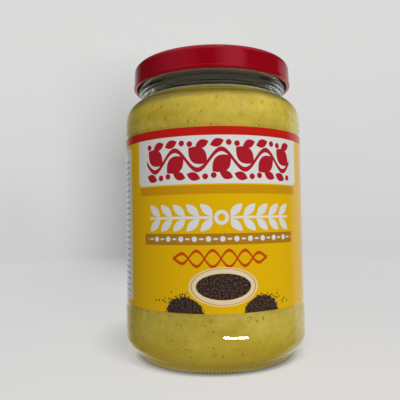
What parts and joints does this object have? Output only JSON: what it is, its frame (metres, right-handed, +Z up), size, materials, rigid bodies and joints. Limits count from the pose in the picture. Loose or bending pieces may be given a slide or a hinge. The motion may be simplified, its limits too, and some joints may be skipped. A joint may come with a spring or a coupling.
{
  "type": "mustard jar",
  "caption": "Clear glass jar of smooth mustard with a red twist-off metal lid and a wrapped paper label in yellow, red and white.",
  "frame": {"origin": "middle of the base, on the surface the jar stands on", "axes": "+Z up the axis of the jar, the front of the label faces -Y"},
  "size_m": [0.0744, 0.0744, 0.1195],
  "materials": {
    "glass": "clear, glossy, faintly green",
    "mustard": "smooth, moist, finely specked",
    "lid": "red lacquered tinplate, glossy",
    "label": "printed paper, varnished"
  },
  "bodies": {
    "root": {"jar": "glass", "mustard": "mustard", "lid": "lid", "label": "label"}
  },
  "joints": []
}
